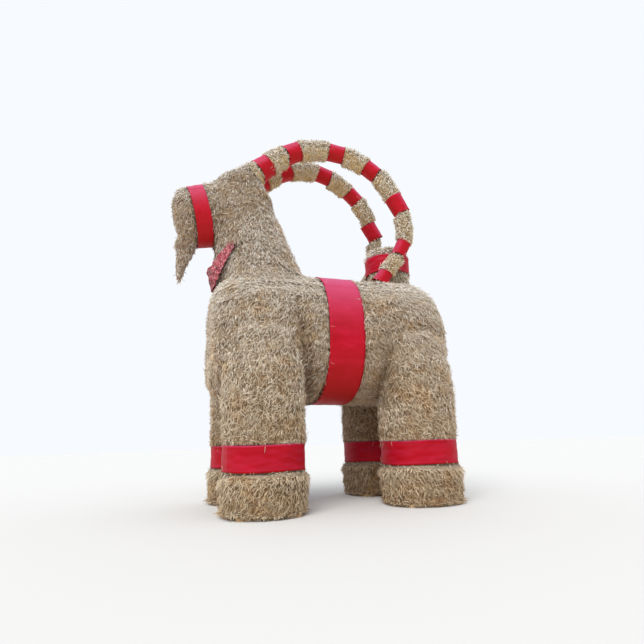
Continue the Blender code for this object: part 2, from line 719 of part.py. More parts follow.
STRAW = finish("straw", (0.38, 0.31, 0.22), 0.85)
RED_CLOTH = finish("red_cloth", (0.50, 0.01, 0.035), 0.55)
PINE = finish("pine", (0.50, 0.33, 0.17), 0.75)
STEEL = finish("galvanised_steel", (0.50, 0.51, 0.52), 0.45, 1.0)
WOVEN = finish("woven_scarf", (0.36, 0.13, 0.14), 0.80)

build_legs(STRAW, RED_CLOTH, PINE)
build_torso(STRAW, RED_CLOTH, PINE)
build_head(STRAW, RED_CLOTH, PINE, STEEL)
build_tail(STRAW, RED_CLOTH, PINE)
build_beard(STRAW, STEEL)
build_scarf(WOVEN, STEEL)
bpy.context.view_layer.update()
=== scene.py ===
import math

import bmesh
import bpy
import numpy as np
from mathutils import Matrix, Vector
from mathutils.bvhtree import BVHTree
from mathutils.kdtree import KDTree


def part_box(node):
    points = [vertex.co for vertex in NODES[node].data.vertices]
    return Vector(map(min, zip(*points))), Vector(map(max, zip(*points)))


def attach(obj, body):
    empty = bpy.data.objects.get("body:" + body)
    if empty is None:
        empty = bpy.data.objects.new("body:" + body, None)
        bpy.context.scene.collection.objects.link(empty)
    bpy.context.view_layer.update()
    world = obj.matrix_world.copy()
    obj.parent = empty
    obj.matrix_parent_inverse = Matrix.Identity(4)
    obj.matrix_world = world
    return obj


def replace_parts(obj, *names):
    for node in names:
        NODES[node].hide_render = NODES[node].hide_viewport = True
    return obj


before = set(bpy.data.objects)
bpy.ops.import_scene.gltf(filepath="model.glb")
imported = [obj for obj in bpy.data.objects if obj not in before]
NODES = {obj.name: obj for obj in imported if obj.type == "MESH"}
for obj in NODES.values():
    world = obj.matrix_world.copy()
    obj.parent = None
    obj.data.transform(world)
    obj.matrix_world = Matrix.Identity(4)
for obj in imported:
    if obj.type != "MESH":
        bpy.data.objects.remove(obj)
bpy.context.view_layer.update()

RNG = np.random.default_rng(1966)
DOWN = np.array([0.0, 0.0, -1.0])


# ---------------------------------------------------------------- small numeric helpers
def unit(vectors):
    return vectors / np.maximum(np.linalg.norm(vectors, axis=-1, keepdims=True), 1e-9)


def noise(points, size, seed):
    """Smooth value noise from -1 to 1, with features about size metres across."""
    grid = np.asarray(points) / size
    cell = np.floor(grid).astype(np.int64)
    ease = grid - cell
    ease = ease * ease * (3.0 - 2.0 * ease)
    total = np.zeros(len(grid))
    for corner in range(8):
        offset = np.array([corner & 1, (corner >> 1) & 1, (corner >> 2) & 1])
        key = ((cell + offset) * np.array([73856093, 19349663, 83492791])).sum(1) + seed * 7919
        key = (key ^ (key >> 13)) * 1274126177 & 0x7FFFFFFF
        value = ((key ^ (key >> 16)) & 0xFFFF) / 32767.5 - 1.0
        total += value * np.prod(np.where(offset, ease, 1.0 - ease), axis=1)
    return total


def bulge(value, exponent):
    """A sine or cosine reshaped for a superellipse."""
    return np.sign(value) * np.abs(value) ** (2.0 / exponent)


def corners(node):
    low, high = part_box(node)
    return np.array(low), np.array(high)


def middle(node):
    low, high = corners(node)
    return (low + high) / 2.0


def vertices_of(mesh):
    flat = np.empty(len(mesh.vertices) * 3, np.float32)
    mesh.vertices.foreach_get("co", flat)
    return flat.reshape(-1, 3).astype(float)


# ---------------------------------------------------------------- materials
def new_material(name):
    material = bpy.data.materials.new(name)
    material.use_nodes = True
    tree = material.node_tree
    return material, tree, tree.nodes["Principled BSDF"]


def add_node(tree, kind, **settings):
    node = tree.nodes.new(kind)
    for key, value in settings.items():
        setattr(node, key, value)
    return node


def ramp(tree, source, stops):
    node = add_node(tree, "ShaderNodeValToRGB")
    elements = node.color_ramp.elements
    while len(elements) < len(stops):
        elements.new(0.5)
    for element, (place, colour) in zip(elements, stops):
        element.position = place
        element.color = (*colour, 1.0)
    tree.links.new(source, node.inputs["Fac"])
    return node.outputs["Color"]


def blend_colour(tree, mode, factor, first, second):
    node = add_node(tree, "ShaderNodeMix", data_type="RGBA", blend_type=mode, clamp_factor=True)
    colour_a, colour_b, colour_result = 6, 7, 2
    for socket, value in ((node.inputs["Factor"], factor), (node.inputs[colour_a], first),
                          (node.inputs[colour_b], second)):
        if isinstance(value, bpy.types.NodeSocket):
            tree.links.new(value, socket)
        elif isinstance(value, float):
            socket.default_value = value
        else:
            socket.default_value = (*value, 1.0)
    return node.outputs[colour_result]


def remap(tree, source, low, high, to_low=0.0, to_high=1.0):
    node = add_node(tree, "ShaderNodeMapRange", clamp=True)
    tree.links.new(source, node.inputs["Value"])
    for key, value in (("From Min", low), ("From Max", high), ("To Min", to_low), ("To Max", to_high)):
        node.inputs[key].default_value = value
    return node.outputs["Result"]


def place_coords(tree, scale=(1.0, 1.0, 1.0)):
    """World-scale coordinates of the piece, stretched by scale."""
    coords = add_node(tree, "ShaderNodeTexCoord")
    mapping = add_node(tree, "ShaderNodeMapping")
    mapping.inputs["Scale"].default_value = scale
    tree.links.new(coords.outputs["Object"], mapping.inputs["Vector"])
    return mapping.outputs["Vector"]


def noise_node(tree, vector, scale, detail=2.0, rough=0.5):
    node = add_node(tree, "ShaderNodeTexNoise")
    node.inputs["Scale"].default_value = scale
    node.inputs["Detail"].default_value = detail
    node.inputs["Roughness"].default_value = rough
    tree.links.new(vector, node.inputs["Vector"])
    return node.outputs["Fac"]


def bump(tree, shader, height, strength, distance):
    node = add_node(tree, "ShaderNodeBump")
    node.inputs["Strength"].default_value = strength
    node.inputs["Distance"].default_value = distance
    tree.links.new(height, node.inputs["Height"])
    tree.links.new(node.outputs["Normal"], shader.inputs["Normal"])


def facing_up(tree, low, high):
    """0 to 1 as a surface turns from the low to the high value of its normal's Z."""
    geometry = add_node(tree, "ShaderNodeNewGeometry")
    split = add_node(tree, "ShaderNodeSeparateXYZ")
    tree.links.new(geometry.outputs["Normal"], split.inputs["Vector"])
    return remap(tree, split.outputs["Z"], low, high)


def height_share(tree, low, high):
    """0 to 1 as the height above the ground goes from low to high metres."""
    coords = add_node(tree, "ShaderNodeTexCoord")
    split = add_node(tree, "ShaderNodeSeparateXYZ")
    tree.links.new(coords.outputs["Object"], split.inputs["Vector"])
    return remap(tree, split.outputs["Z"], low, high)


STRAW_TONES = (
    (0.00, (0.070, 0.046, 0.026)),
    (0.20, (0.240, 0.178, 0.112)),
    (0.42, (0.480, 0.415, 0.320)),
    (0.62, (0.670, 0.620, 0.525)),
    (0.82, (0.810, 0.780, 0.710)),
    (1.00, (0.930, 0.920, 0.890)),
)


def straw_material(name, glow, warm, matted=False):
    """Dry straw in its own tones, browner low on the goat and in patches, with a painted warm underside:
    painted shade under the coat's straw, painted lamp glow under the horns and tail.

    Stalks take their tone from the mesh, and matted straw from dark streaks, a painted shade for the gaps
    between the stalks. Straw that faces the sky is mixed greyer as painted sky light, and darker where it
    lies flat, a painted shade that holds back the light there.
    """
    material, tree, shader = new_material(name)
    if matted:
        streaks = noise_node(tree, place_coords(tree, (1.0, 1.0, 0.2)), 24.0, 3.0, 0.6)
        # matted straw kept dark: painted shade for the gaps between the stalks
        tone = remap(tree, streaks, 0.35, 0.75, 0.02, 0.34)
    else:
        tone = add_node(tree, "ShaderNodeAttribute", attribute_name="tone").outputs["Fac"]
    colour = ramp(tree, tone, STRAW_TONES)
    patches = noise_node(tree, place_coords(tree), 1.3, 4.0, 0.65)
    brown = remap(tree, patches, 0.50, 0.70, 0.0, 0.90)
    colour = blend_colour(tree, "MULTIPLY", brown, colour, (0.92, 0.74, 0.52))
    low = height_share(tree, 8.0, 0.5)
    colour = blend_colour(tree, "MULTIPLY", low, colour, (0.99, 0.87, 0.69))
    # painted sky light: straw that faces up is mixed towards grey
    sky = remap(tree, facing_up(tree, 0.20, 0.95), 0.0, 1.0, 0.0, 0.24)
    colour = blend_colour(tree, "MIX", sky, colour, (0.74, 0.73, 0.71))
    # painted shade: straw that lies flat is darkened to hold back the light on it
    flat = facing_up(tree, 0.60, 1.00)
    colour = blend_colour(tree, "MULTIPLY", flat, colour, (0.62, 0.56, 0.46))
    # painted underside: the warm tint is painted shade on the coat's straw and painted lamp glow on the
    # horns and tail
    under = remap(tree, facing_up(tree, 0.00, -0.80), 0.0, 1.0, 0.0, glow)
    colour = blend_colour(tree, "MIX", under, colour, warm)
    tree.links.new(colour, shader.inputs["Base Color"])
    shader.inputs["Roughness"].default_value = 0.70
    shader.inputs["Specular IOR Level"].default_value = 0.30
    fibres = noise_node(tree, place_coords(tree, (1.0, 1.0, 0.12)), 120.0, 2.0)
    bump(tree, shader, fibres, 0.4, 0.01)
    return material


def red_cloth_material():
    """Red satin-faced cloth: fine weave, faint weathering, pink where it faces the sky as a painted sky
    reflection, painted warm shade underneath, deeper low down.
    """
    material, tree, shader = new_material("red_cloth_weave")
    shades = noise_node(tree, place_coords(tree, (1.0, 1.0, 2.5)), 1.6, 4.0, 0.6)
    colour = ramp(tree, shades, ((0.30, (0.36, 0.001, 0.008)), (0.55, (0.43, 0.002, 0.015)),
                                 (0.75, (0.49, 0.006, 0.028))))
    # painted sky reflection: cloth that faces up is mixed towards pink
    sky = remap(tree, facing_up(tree, -0.05, 0.90), 0.0, 1.0, 0.0, 0.85)
    colour = blend_colour(tree, "MIX", sky, colour, (0.50, 0.085, 0.200))
    # painted warm shade: cloth that faces down is mixed towards a warmer red
    under = remap(tree, facing_up(tree, -0.05, -0.80), 0.0, 1.0, 0.0, 0.5)
    colour = blend_colour(tree, "MIX", under, colour, (0.50, 0.022, 0.010))
    low = height_share(tree, 3.0, 2.2)
    colour = blend_colour(tree, "MULTIPLY", low, colour, (0.92, 0.60, 0.72))
    tree.links.new(colour, shader.inputs["Base Color"])
    wear = noise_node(tree, place_coords(tree), 9.0, 4.0, 0.7)
    tree.links.new(remap(tree, wear, 0.3, 0.7, 0.42, 0.62), shader.inputs["Roughness"])
    shader.inputs["Specular IOR Level"].default_value = 0.12
    threads = noise_node(tree, place_coords(tree, (1.0, 1.0, 9.0)), 30.0, 3.0, 0.7)
    bump(tree, shader, threads, 0.35, 0.012)
    return material


SCARF_FLECKS = (
    (0.00, (0.030, 0.010, 0.014)),
    (0.20, (0.060, 0.012, 0.018)),
    (0.30, (0.340, 0.016, 0.034)),
    (0.56, (0.440, 0.045, 0.070)),
    (0.72, (0.540, 0.170, 0.190)),
    (0.87, (0.660, 0.420, 0.400)),
)


def scarf_material():
    """A small woven pattern of black, red and pink flecks."""
    material, tree, shader = new_material("scarf_weave")
    cells = add_node(tree, "ShaderNodeTexVoronoi")
    cells.inputs["Scale"].default_value = 31.0
    tree.links.new(place_coords(tree), cells.inputs["Vector"])
    split = add_node(tree, "ShaderNodeSeparateColor")
    tree.links.new(cells.outputs["Color"], split.inputs["Color"])
    colour = ramp(tree, split.outputs["Red"], SCARF_FLECKS)
    colour.node.color_ramp.interpolation = "CONSTANT"
    worn = noise_node(tree, place_coords(tree), 4.0, 3.0)
    colour = blend_colour(tree, "MIX", remap(tree, worn, 0.3, 0.8, 0.10, 0.35), colour, (0.30, 0.045, 0.065))
    tree.links.new(colour, shader.inputs["Base Color"])
    shader.inputs["Roughness"].default_value = 0.85
    bump(tree, shader, split.outputs["Green"], 0.4, 0.008)
    return material


def pine_material():
    """Sawn pine with its rings drawn out along Z."""
    material, tree, shader = new_material("sawn_pine")
    rings = add_node(tree, "ShaderNodeTexWave", wave_type="RINGS", rings_direction="Z")
    rings.inputs["Scale"].default_value = 9.0
    rings.inputs["Distortion"].default_value = 5.0
    rings.inputs["Detail"].default_value = 3.0
    tree.links.new(place_coords(tree, (1.0, 1.0, 0.15)), rings.inputs["Vector"])
    colour = ramp(tree, rings.outputs["Fac"], ((0.0, (0.42, 0.25, 0.11)), (0.6, (0.56, 0.37, 0.19)),
                                               (1.0, (0.63, 0.45, 0.25))))
    tree.links.new(colour, shader.inputs["Base Color"])
    shader.inputs["Roughness"].default_value = 0.78
    bump(tree, shader, rings.outputs["Fac"], 0.3, 0.004)
    return material


def zinc_material():
    """Dull galvanised steel with a faint spangle."""
    material, tree, shader = new_material("dull_zinc")
    spangle = noise_node(tree, place_coords(tree), 30.0, 4.0, 0.7)
    colour = ramp(tree, spangle, ((0.3, (0.36, 0.37, 0.38)), (0.7, (0.58, 0.59, 0.60))))
    tree.links.new(colour, shader.inputs["Base Color"])
    tree.links.new(remap(tree, spangle, 0.3, 0.7, 0.35, 0.60), shader.inputs["Roughness"])
    shader.inputs["Metallic"].default_value = 1.0
    return material


# warm tints for the painted underside: painted shade on the coat, painted lamp glow on the horns and tail
SHADE_TINT = (0.62, 0.33, 0.17)
LAMP_TINT = (0.90, 0.58, 0.17)
STRAW = straw_material("straw_stalks", 0.55, SHADE_TINT)
STRAW_MAT = straw_material("straw_matted", 0.30, SHADE_TINT, matted=True)
HORN_STRAW = straw_material("horn_straw_stalks", 0.60, LAMP_TINT)
HORN_STRAW_MAT = straw_material("horn_straw_matted", 0.60, LAMP_TINT, matted=True)
RED = red_cloth_material()
SCARF = scarf_material()
PINE = pine_material()
ZINC = zinc_material()


# ---------------------------------------------------------------- red bands
BAND_REACH = 0.45       # points further than this from a band's surface are never under it
NOT_COVERED = -9.0


class Band:
    """Where a CAD band sits: centre, axis, two half axes, half width, and the taper along it.

    Its outline is a superellipse of the given exponent, and the cloth lies hug metres inside the
    CAD band's outer face.
    """

    def __init__(self, node, exponent, hug):
        points = vertices_of(NODES[node].data)
        centre = points.mean(0)
        values, vectors = np.linalg.eigh(np.cov((points - centre).T))
        lone = 0 if values[1] - values[0] > values[2] - values[1] else 2
        self.axis = vectors[:, lone]
        rest = [vectors[:, index] for index in range(3) if index != lone]
        flat = min(rest, key=lambda vector: abs(vector[2]))
        self.side = unit(flat - np.array([0.0, 0.0, flat[2]]))
        self.rise = np.cross(self.axis, self.side)
        local = points - centre
        along = local @ self.axis
        self.half = np.abs(along).max()
        self.centre = centre
        self.exponent = exponent
        self.reach = []
        for end in (along < 0, along > 0):
            sideways = np.abs(local[end] @ self.side).max() - hug
            upright = np.abs(local[end] @ self.rise).max() - hug
            self.reach.append((sideways, upright))

    def half_axes(self, along):
        """The outline's two half axes at places along the band's axis."""
        share = np.clip(0.5 + 0.5 * along / self.half, 0.0, 1.0)
        first, second = np.array(self.reach[0]), np.array(self.reach[1])
        return first + (second - first) * share[..., None]

    def covers(self, points):
        """How far inside the band's edges points near its surface lie, measured along its axis."""
        along = (points - self.centre) @ self.axis
        near = np.abs(self.height(points)) < BAND_REACH
        return np.where(near, self.half - np.abs(along), NOT_COVERED)

    def height(self, points):
        """Rough distance outside the cloth's surface."""
        local = points - self.centre
        axes = self.half_axes(local @ self.axis)
        across = np.abs(local @ self.side / axes[:, 0]) ** self.exponent
        upright = np.abs(local @ self.rise / axes[:, 1]) ** self.exponent
        return ((across + upright) ** (1.0 / self.exponent) - 1.0) * axes.min(1)

    def radial(self, turns, along):
        """Vectors from the axis to the outline, for turns in radians and places along the axis."""
        axes = self.half_axes(along)
        sideways = bulge(np.cos(turns), self.exponent) * axes[:, 0]
        upward = bulge(np.sin(turns), self.exponent) * axes[:, 1]
        return self.side[None] * sideways[:, None] + self.rise[None] * upward[:, None]


FRINGE_PER_METRE = 8
FRINGE_ON_TOP = 0.65                                # the share that hangs over the upper edge
FRINGE_LONG, LONG_OVER, SHORT_OVER = 0.12, (0.06, 0.24), (0.00, 0.03)
FRINGE_WIDTH, FRINGE_TONE = (0.010, 0.018), (0.86, 0.10)


def fringe(band):
    """Loose straw that hangs over a band's edges: roots, tips, outward directions, widths and tones."""
    axes = band.half_axes(np.zeros(1))[0]
    around = 2.0 * math.pi * math.sqrt((axes ** 2).mean())
    count = int(around * FRINGE_PER_METRE)
    turns = RNG.uniform(0.0, 2.0 * math.pi, count)
    upper = np.where(RNG.random(count) < FRINGE_ON_TOP, 1.0, -1.0) * (1.0 if band.axis[2] > 0 else -1.0)
    over = np.where(RNG.random(count) < FRINGE_LONG,
                    RNG.uniform(*LONG_OVER, count), RNG.uniform(*SHORT_OVER, count))
    over = np.minimum(over, band.half * 0.9)
    ends = []
    for along, wander, away in ((band.half + 0.07, 1e-9, -0.01), (band.half - over, 0.10 + 1e-9, 0.040)):
        places = upper * along
        here = turns + RNG.normal(0.0, wander, count) / max(axes.max(), 0.5)
        radial = band.radial(here, places)
        ends.append(band.centre + band.axis[None] * places[:, None] + radial + unit(radial) * away)
    roots, tips = ends
    widths = RNG.uniform(*FRINGE_WIDTH, count)
    return roots, tips, unit(roots - band.centre), widths, RNG.normal(*FRINGE_TONE, count)


CLOTH_THICK = 0.014
HEM_RISE, LAP_RISE = 0.010, 0.016
EDGE_WAVER = 0.012
LAP_TURN = 2.2                                      # where round the band its end laps over, in radians
BAND_ROWS = 14


def cloth_band(node, band, wrinkle, around):
    """A strip of cloth pulled tight round the straw, with hems, drag wrinkles and a lapped end."""
    turns = np.linspace(0.0, 2.0 * math.pi, around, endpoint=False)
    seed = sum(ord(letter) for letter in node)
    layers = []
    for layer, height in enumerate((CLOTH_THICK, 0.0)):
        rows = []
        for place in np.linspace(-1.0, 1.0, BAND_ROWS):
            along = place * band.half + EDGE_WAVER * np.sin(turns * 3 + seed) * abs(place)
            radial = band.radial(turns, np.full(around, place * band.half))
            key = np.stack([np.cos(turns) * 2.6, np.sin(turns) * 2.6,
                            np.full(around, place * band.half * 9.0)], 1)
            folds = noise(key, 1.0, seed) * wrinkle + noise(key * 2.3, 1.0, seed + 1) * wrinkle * 0.5
            hem = HEM_RISE * max(0.0, abs(place) * 8.0 - 7.0) if layer == 0 else 0.0
            lap = LAP_RISE * np.clip((np.cos(turns - LAP_TURN) - 0.955) * 60.0, 0.0, 1.0) * (layer == 0)
            grow = height + hem + lap + folds * (1.0 - 0.4 * abs(place))
            rows.append(band.centre + band.axis[None] * along[:, None]
                        + radial + unit(radial) * grow[:, None])
        layers.append(rows)
    loop = layers[0] + layers[1][::-1]
    count = len(loop)
    verts = np.concatenate(loop)
    faces = []
    for row in range(count):
        below = (row + 1) % count
        for here in range(around):
            after = (here + 1) % around
            faces.append((row * around + here, row * around + after,
                          below * around + after, below * around + here))
    finish_piece(node + "_cloth", verts, faces, RED, "goat", node)


def place_piece(name, mesh, material, body):
    """A new piece of the goat that rides on a body."""
    mesh.materials.append(material)
    piece = bpy.data.objects.new(name, mesh)
    bpy.context.scene.collection.objects.link(piece)
    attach(piece, body)
    return piece


def finish_piece(name, verts, faces, material, body, node):
    """A new smooth piece that stands in for a CAD node."""
    mesh = bpy.data.meshes.new(name)
    mesh.from_pydata([tuple(vert) for vert in verts], [], faces)
    tool = bmesh.new()
    tool.from_mesh(mesh)
    bmesh.ops.recalc_face_normals(tool, faces=tool.faces)
    tool.to_mesh(mesh)
    tool.free()
    mesh.shade_smooth()
    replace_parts(place_piece(name, mesh, material, body), node)


LEG_NAMES = [f"{end}_{flank}" for end in ("front", "rear") for flank in ("left", "right")]
SNUG, HORN_HUG = 0.004, 0.095
NARROW_BAND = 0.6                                   # half axis below which a band is a horn's
BANDS = {f"leg_band_{leg}": Band(f"leg_band_{leg}", 2.2, SNUG) for leg in LEG_NAMES}
BANDS["girth_band"] = Band("girth_band", 2.5, SNUG)
BANDS["muzzle_band"] = Band("muzzle_band", 2.3, SNUG)
BANDS["tail_band"] = Band("tail_band", 2.0, SNUG)
for node in NODES:
    if node.startswith("horn_band"):
        BANDS[node] = Band(node, 2.0, HORN_HUG)
for node, band in BANDS.items():
    narrow = band.half_axes(np.zeros(1)).max() < NARROW_BAND
    cloth_band(node, band, 0.006 if narrow else 0.011, 64 if narrow else 220)


# ---------------------------------------------------------------- straw mats
COAT = ["head_straw", "neck_straw", "chest_straw", "rump_straw"] + [f"leg_straw_{leg}" for leg in LEG_NAMES]
COAT_CORE = [name for name in NODES
             if name.startswith(("leg_frame", "torso_ring", "spine", "belly", "neck_frame", "head_frame"))]
MAT_DEPTH = 0.09


def remeshed(nodes, voxel, rounds, fillers=()):
    """CAD nodes and wrapped groups of points as one even, softened mesh: points and four-sided faces."""
    tool = bmesh.new()
    for node in nodes:
        tool.from_mesh(NODES[node].data)
    for cloud in fillers:
        wrap = bmesh.ops.convex_hull(tool, input=[tool.verts.new(point) for point in cloud])
        inner = [item for item in wrap["geom_interior"] if item.is_valid]
        bmesh.ops.delete(tool, geom=inner, context="VERTS")
    mesh = bpy.data.meshes.new("remesh")
    tool.to_mesh(mesh)
    tool.free()
    piece = bpy.data.objects.new("remesh", mesh)
    bpy.context.scene.collection.objects.link(piece)
    even = piece.modifiers.new("even", "REMESH")
    even.mode = "VOXEL"
    even.voxel_size = voxel
    relax = piece.modifiers.new("relax", "SMOOTH")
    relax.factor = 0.5
    relax.iterations = rounds
    graph = bpy.context.evaluated_depsgraph_get()
    final = bpy.data.meshes.new_from_object(piece.evaluated_get(graph))
    bpy.data.objects.remove(piece)
    points = vertices_of(final)
    faces = np.empty(len(final.loops), np.int32)
    final.loops.foreach_get("vertex_index", faces)
    return points, faces.reshape(-1, 4)


def soften(points, faces, weight, rounds):
    """Laplacian smoothing, by a weight for each point."""
    edges = np.concatenate([faces[:, [0, 1]], faces[:, [1, 2]], faces[:, [2, 3]], faces[:, [3, 0]]])
    count = np.bincount(edges[:, 0], minlength=len(points)) + np.bincount(edges[:, 1], minlength=len(points))
    points = points.copy()
    for _ in range(rounds):
        total = np.zeros_like(points)
        for axis in range(3):
            total[:, axis] = (np.bincount(edges[:, 0], points[edges[:, 1], axis], len(points))
                              + np.bincount(edges[:, 1], points[edges[:, 0], axis], len(points)))
        mean = total / np.maximum(count, 1)[:, None]
        points += (mean - points) * weight[:, None]
    return points


def node_tree(node):
    """A CAD node's surface, for finding the nearest place on it."""
    mesh = NODES[node].data
    return BVHTree.FromPolygons(vertices_of(mesh).tolist(), [tuple(face.vertices) for face in mesh.polygons])


def face_normals(points, faces):
    """Normals of four-sided faces, each as long as twice the face's area."""
    first = points[faces[:, 2]] - points[faces[:, 0]]
    second = points[faces[:, 3]] - points[faces[:, 1]]
    return np.cross(first, second)


def point_normals(points, faces):
    """Normals of points, weighted by the areas of the faces round them."""
    turned = face_normals(points, faces)
    total = np.zeros_like(points)
    for corner in range(4):
        for axis in range(3):
            total[:, axis] += np.bincount(faces[:, corner], turned[:, axis], len(points))
    return unit(total)


def outward(points, normals, inside):
    """Positive where a surface looks away from the timber or steel inside it."""
    if not inside:
        return np.ones(len(points))
    core = np.concatenate([vertices_of(NODES[name].data) for name in inside])
    tree = KDTree(len(core))
    for index, point in enumerate(core):
        tree.insert(point, index)
    tree.balance()
    nearest = np.array([tree.find(point)[0] for point in points])
    return np.einsum("ij,ij->i", normals, unit(points - nearest))


def outer_faces(points, faces, centres):
    """Which faces are on the outside: those turned from the timber, and doubtful ones in the open air."""
    turned = unit(face_normals(points, faces))
    score = outward(centres, turned, COAT_CORE)
    sure, off_surface, splay = 0.5, 0.03, 0.7
    outer = score > sure
    tree = BVHTree.FromPolygons(points.tolist(), faces.tolist())
    for index in np.flatnonzero((score > -sure) & (score <= sure)):
        normal = turned[index]
        start = centres[index] + normal * off_surface
        across = unit(np.cross(normal, (0.3, 0.5, 0.8)))
        upward = np.cross(normal, across)
        for lean in (normal * 0.0, across * splay, -across * splay, upward * splay, -upward * splay):
            if tree.ray_cast(start, normal + lean)[0] is None:
                outer[index] = True
                break
    return outer


def shell_piece(name, points, normals, faces, material, body, node):
    """Outer faces given a depth and closed all round."""
    used, local = np.unique(faces, return_inverse=True)
    local = local.reshape(-1, 4)
    count = len(used)
    verts = np.concatenate([points[used], points[used] - normals[used] * MAT_DEPTH])
    ring = np.concatenate([local[:, [0, 1]], local[:, [1, 2]], local[:, [2, 3]], local[:, [3, 0]]])
    key = ring[:, 0].astype(np.int64) * count + ring[:, 1]
    back = ring[:, 1].astype(np.int64) * count + ring[:, 0]
    rim = ring[~np.isin(key, back)]
    walls = np.stack([rim[:, 1], rim[:, 0], rim[:, 0] + count, rim[:, 1] + count], 1)
    everything = np.concatenate([local, local[:, ::-1] + count, walls])
    mesh = bpy.data.meshes.new(name)
    mesh.vertices.add(len(verts))
    mesh.vertices.foreach_set("co", verts.astype(np.float32).ravel())
    mesh.loops.add(everything.size)
    mesh.loops.foreach_set("vertex_index", everything.astype(np.int32).ravel())
    mesh.polygons.add(len(everything))
    mesh.polygons.foreach_set("loop_start", np.arange(0, everything.size, 4, dtype=np.int32))
    mesh.update()
    mesh.shade_smooth()
    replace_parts(place_piece(name, mesh, material, body), node)


class Mat:
    """The outer surface of one straw node, ready for stalks."""

    def __init__(self, node, points, normals, faces):
        self.node = node
        self.corners = points[faces]
        self.normals = normals[faces]
        self.area = np.linalg.norm(face_normals(points, faces), axis=1) / 2.0

    def sample(self, density):
        """Random places on the mat, density to the square metre, with their normals."""
        total = self.area.sum()
        chosen = RNG.choice(len(self.area), size=int(total * density), p=self.area / total)
        u, v = RNG.random((2, len(chosen), 1))
        weights = ((1 - u) * (1 - v), u * (1 - v), u * v, (1 - u) * v)
        points = sum(weight * self.corners[chosen, index] for index, weight in enumerate(weights))
        normals = sum(weight * self.normals[chosen, index] for index, weight in enumerate(weights))
        return points, unit(normals)


MAT_ROW = 0.46                                      # height of one row of straw mats


def lumpy(points, normals, size, height, inset, layers=0.0):
    """Points moved in by an even inset and out again by soft lumps and the edges of mats laid in rows."""
    swell = noise(points, size, 11) * height + noise(points, size * 0.4, 12) * height * 0.5
    phase = points[:, 2] / MAT_ROW + noise(points, 1.6, 13) * 0.8
    swell += (0.5 - (phase - np.floor(phase))) * layers * (0.5 + 0.5 * noise(points, 1.1, 14))
    return points + normals * (swell - inset)[:, None]


def pinch(points, normals, bands, deep, full, swell):
    """Straw drawn in under the bands, swelling right beside them, and full between them."""
    beside = np.full(len(points), -NOT_COVERED)
    for band in bands:
        beside = np.minimum(beside, -band.covers(points))
    clear = np.clip(beside / 0.05, 0.0, 1.0)
    bank = np.exp(-((beside - 0.10) / 0.12) ** 2) * clear
    return points + normals * (deep + (full - deep) * clear + swell * bank)[:, None]


def haunch_fold(points):
    """How strongly each point lies in a fold where a haunch meets the belly: narrow and wide measures."""
    girth_low, girth_high = corners("girth_band")
    height = points[:, 2] - girth_low[2]
    flank = np.clip((height + 0.3) / 0.4, 0.0, 1.0) * (np.abs(points[:, 1]) > 1.0)
    narrow = np.zeros(len(points))
    wide = np.zeros(len(points))
    front_line = girth_low[0] - 0.45 - height * 0.20
    rear_line = girth_high[0] + 0.66 + height * 0.06
    for line, reach, deep in ((front_line, 3.3, 1.0), (rear_line, 2.7, 0.8)):
        fade = flank * np.clip((reach - height) / 1.2, 0.0, 1.0) * deep
        narrow += fade * np.exp(-((points[:, 0] - line) / 0.13) ** 2)
        wide += fade * np.exp(-((points[:, 0] - line) / 0.28) ** 2)
    return narrow, wide


# The brow: metres behind the muzzle band, and how far the top of the head rises or sinks there.
BROW_LINE = (-0.48, -0.38, -0.27, -0.10, 0.02, 0.20, 0.39, 0.63, 0.80, 1.10, 1.40)
BROW_RISE = (0.0, 0.08, 0.10, 0.12, 0.22, 0.20, 0.06, -0.16, -0.18, -0.10, 0.0)
COAT_VOXEL, COAT_ROUNDS = 0.055, 8
BEARD_TOP, CHIN_TOP = 8.20, 9.0                     # heights that the chin's straw spans
FOLD_DEPTH = 0.11
GROUND_ROOM = 0.02


def coat_surface(band_low, band_high):
    """The remeshed CAD straw, with muzzle, brow and chin filled and the neck flowing into the chest."""
    head = vertices_of(NODES["head_straw"].data)
    beard = vertices_of(NODES["beard_straw"].data)
    muzzle = head[head[:, 0] < band_low[0] + 0.40]
    brow = head[(head[:, 2] > band_high[2] - 0.55) & (head[:, 0] > band_high[0])]
    chin = np.concatenate([beard[beard[:, 2] > BEARD_TOP], muzzle[muzzle[:, 2] < CHIN_TOP]])
    points, faces = remeshed(COAT, COAT_VOXEL, COAT_ROUNDS, (muzzle, brow, chin))
    neck_high = corners("neck_straw")[1]
    chest_high = corners("chest_straw")[1][2]
    level = np.exp(-((points[:, 2] - chest_high) / 0.45) ** 2)
    level *= (np.abs(points[:, 1]) < neck_high[1] + 0.5) * (points[:, 0] < neck_high[0] + 0.1)
    return soften(points, faces, level * 0.5, 90), faces


def nearest_nodes(centres):
    """For each face centre, the row in COAT of the CAD node that lies nearest."""
    distance = np.full((len(COAT), len(centres)), 9.0)
    for row, node in enumerate(COAT):
        low, high = corners(node)
        near = np.all((centres > low - 0.3) & (centres < high + 0.3), axis=1)
        tree = node_tree(node)
        distance[row, near] = [tree.find_nearest(centre)[3] for centre in centres[near]]
    return distance.argmin(0)


